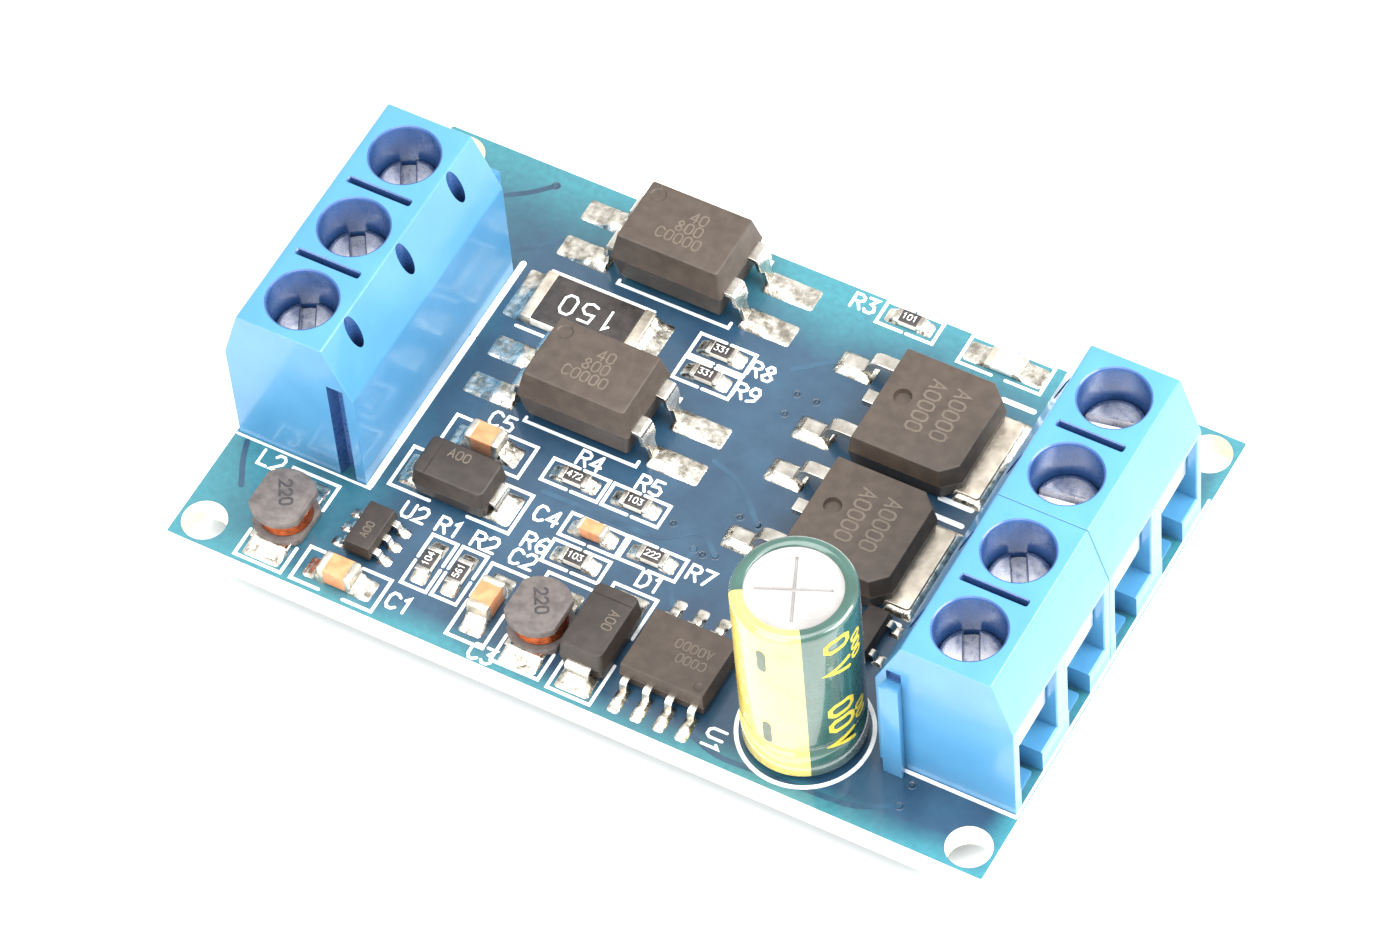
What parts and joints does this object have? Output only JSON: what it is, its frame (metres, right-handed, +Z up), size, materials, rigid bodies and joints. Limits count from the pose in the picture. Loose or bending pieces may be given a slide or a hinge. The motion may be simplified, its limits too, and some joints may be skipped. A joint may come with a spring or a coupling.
{
  "type": "opto-isolated power driver module",
  "caption": "Small driver circuit board with blue screw-terminal rows at both ends, optocouplers, power transistors, chip parts and a tall can capacitor.",
  "frame": {"origin": "under the middle of the board, on the plane of the trimmed lead tips", "axes": "+X along the board towards the longer terminal row, +Y across the board away from the capacitor, +Z up through the components"},
  "size_m": [0.0464, 0.029, 0.0155],
  "materials": {
    "solder_mask": "glossy green-blue mask over glass-epoxy laminate",
    "terminal_plastic": "moulded, semi-gloss",
    "guard_steel": "rolled strip",
    "screw_steel": "zinc plated",
    "contact_brass": "tin plated",
    "chip_epoxy": "moulded, matt",
    "resistor_ceramic": "alumina under dark glaze",
    "capacitor_ceramic": "fired, satin",
    "lamp_lens": "cast clear resin over white base",
    "ferrite": "sintered, coated",
    "copper_wire": "enamelled copper",
    "can_aluminium": "drawn, satin",
    "capacitor_sleeve": "shrunk vinyl, glossy",
    "seal_rubber": "moulded",
    "foil_roll": "wound foil and paper",
    "lead_wire": "tinned wire"
  },
  "bodies": {
    "board_assembly": {"circuit_board": "solder_mask", "input_terminal_housing": "terminal_plastic", "output_terminal_housing_1": "terminal_plastic", "output_terminal_housing_2": "terminal_plastic", "terminal_contact_1": "contact_brass", "terminal_contact_2": "contact_brass", "terminal_contact_3": "contact_brass", "terminal_contact_4": "contact_brass", "terminal_contact_5": "contact_brass", "terminal_contact_6": "contact_brass", "terminal_contact_7": "contact_brass", "optocoupler_1": "chip_epoxy", "optocoupler_2": "chip_epoxy", "power_transistor_1": "chip_epoxy", "power_transistor_2": "chip_epoxy", "driver_chip": "chip_epoxy", "regulator_chip": "chip_epoxy", "signal_transistor": "chip_epoxy", "rectifier_diode_1": "chip_epoxy", "rectifier_diode_2": "chip_epoxy", "inductor_core_1": "ferrite", "inductor_winding_1": "copper_wire", "capacitor_lead_1": "lead_wire", "inductor_core_2": "ferrite", "inductor_winding_2": "copper_wire", "capacitor_lead_2": "lead_wire", "ceramic_capacitor_1": "capacitor_ceramic", "ceramic_capacitor_2": "capacitor_ceramic", "ceramic_capacitor_3": "capacitor_ceramic", "ceramic_capacitor_4": "capacitor_ceramic", "chip_resistor_1": "resistor_ceramic", "chip_resistor_2": "resistor_ceramic", "chip_resistor_3": "resistor_ceramic", "chip_resistor_4": "resistor_ceramic", "chip_resistor_5": "resistor_ceramic", "chip_resistor_6": "resistor_ceramic", "chip_resistor_7": "resistor_ceramic", "chip_resistor_8": "resistor_ceramic", "chip_resistor_9": "resistor_ceramic", "power_resistor": "resistor_ceramic", "indicator_lamp": "lamp_lens", "capacitor_can": "can_aluminium", "capacitor_sleeve": "capacitor_sleeve", "capacitor_bung": "seal_rubber", "capacitor_foil_roll": "foil_roll"},
    "wire_guard_1": {"wire_guard_1": "guard_steel"},
    "clamp_screw_1": {"clamp_screw_1": "screw_steel"},
    "wire_guard_2": {"wire_guard_2": "guard_steel"},
    "clamp_screw_2": {"clamp_screw_2": "screw_steel"},
    "wire_guard_3": {"wire_guard_3": "guard_steel"},
    "clamp_screw_3": {"clamp_screw_3": "screw_steel"},
    "wire_guard_4": {"wire_guard_4": "guard_steel"},
    "clamp_screw_4": {"clamp_screw_4": "screw_steel"},
    "wire_guard_5": {"wire_guard_5": "guard_steel"},
    "clamp_screw_5": {"clamp_screw_5": "screw_steel"},
    "wire_guard_6": {"wire_guard_6": "guard_steel"},
    "clamp_screw_6": {"clamp_screw_6": "screw_steel"},
    "wire_guard_7": {"wire_guard_7": "guard_steel"},
    "clamp_screw_7": {"clamp_screw_7": "screw_steel"}
  },
  "joints": [
    {"name": "guard_travel_1", "type": "slide", "parent": "board_assembly", "child": "wire_guard_1", "axis": [0, 0, 1], "range_m": [-0.0015, 0]},
    {"name": "screw_turn_1", "type": "hinge", "parent": "wire_guard_1", "child": "clamp_screw_1", "pos_m": [-0.01945, 0.00502, 0.0105], "axis": [0, 0, 1], "range_deg": [-1080, 0]},
    {"name": "guard_travel_2", "type": "slide", "parent": "board_assembly", "child": "wire_guard_2", "axis": [0, 0, 1], "range_m": [-0.0015, 0]},
    {"name": "screw_turn_2", "type": "hinge", "parent": "wire_guard_2", "child": "clamp_screw_2", "pos_m": [-0.01945, -0.00006, 0.0105], "axis": [0, 0, 1], "range_deg": [-1080, 0]},
    {"name": "guard_travel_3", "type": "slide", "parent": "board_assembly", "child": "wire_guard_3", "axis": [0, 0, 1], "range_m": [-0.0015, 0]},
    {"name": "screw_turn_3", "type": "hinge", "parent": "wire_guard_3", "child": "clamp_screw_3", "pos_m": [-0.01945, -0.00514, 0.0105], "axis": [0, 0, 1], "range_deg": [-1080, 0]},
    {"name": "guard_travel_4", "type": "slide", "parent": "board_assembly", "child": "wire_guard_4", "axis": [0, 0, 1], "range_m": [-0.0015, 0]},
    {"name": "screw_turn_4", "type": "hinge", "parent": "wire_guard_4", "child": "clamp_screw_4", "pos_m": [0.0194, -0.00789, 0.0105], "axis": [0, 0, 1], "range_deg": [-1080, 0]},
    {"name": "guard_travel_5", "type": "slide", "parent": "board_assembly", "child": "wire_guard_5", "axis": [0, 0, 1], "range_m": [-0.0015, 0]},
    {"name": "screw_turn_5", "type": "hinge", "parent": "wire_guard_5", "child": "clamp_screw_5", "pos_m": [0.0194, -0.00281, 0.0105], "axis": [0, 0, 1], "range_deg": [-1080, 0]},
    {"name": "guard_travel_6", "type": "slide", "parent": "board_assembly", "child": "wire_guard_6", "axis": [0, 0, 1], "range_m": [-0.0015, 0]},
    {"name": "screw_turn_6", "type": "hinge", "parent": "wire_guard_6", "child": "clamp_screw_6", "pos_m": [0.0194, 0.00227, 0.0105], "axis": [0, 0, 1], "range_deg": [-1080, 0]},
    {"name": "guard_travel_7", "type": "slide", "parent": "board_assembly", "child": "wire_guard_7", "axis": [0, 0, 1], "range_m": [-0.0015, 0]},
    {"name": "screw_turn_7", "type": "hinge", "parent": "wire_guard_7", "child": "clamp_screw_7", "pos_m": [0.0194, 0.00735, 0.0105], "axis": [0, 0, 1], "range_deg": [-1080, 0]}
  ],
  "couplings": [
    {"joint": "screw_turn_1", "follows": "guard_travel_1", "rad_per_m": 12566},
    {"joint": "screw_turn_2", "follows": "guard_travel_2", "rad_per_m": 12566},
    {"joint": "screw_turn_3", "follows": "guard_travel_3", "rad_per_m": 12566},
    {"joint": "screw_turn_4", "follows": "guard_travel_4", "rad_per_m": 12566},
    {"joint": "screw_turn_5", "follows": "guard_travel_5", "rad_per_m": 12566},
    {"joint": "screw_turn_6", "follows": "guard_travel_6", "rad_per_m": 12566},
    {"joint": "screw_turn_7", "follows": "guard_travel_7", "rad_per_m": 12566}
  ]
}
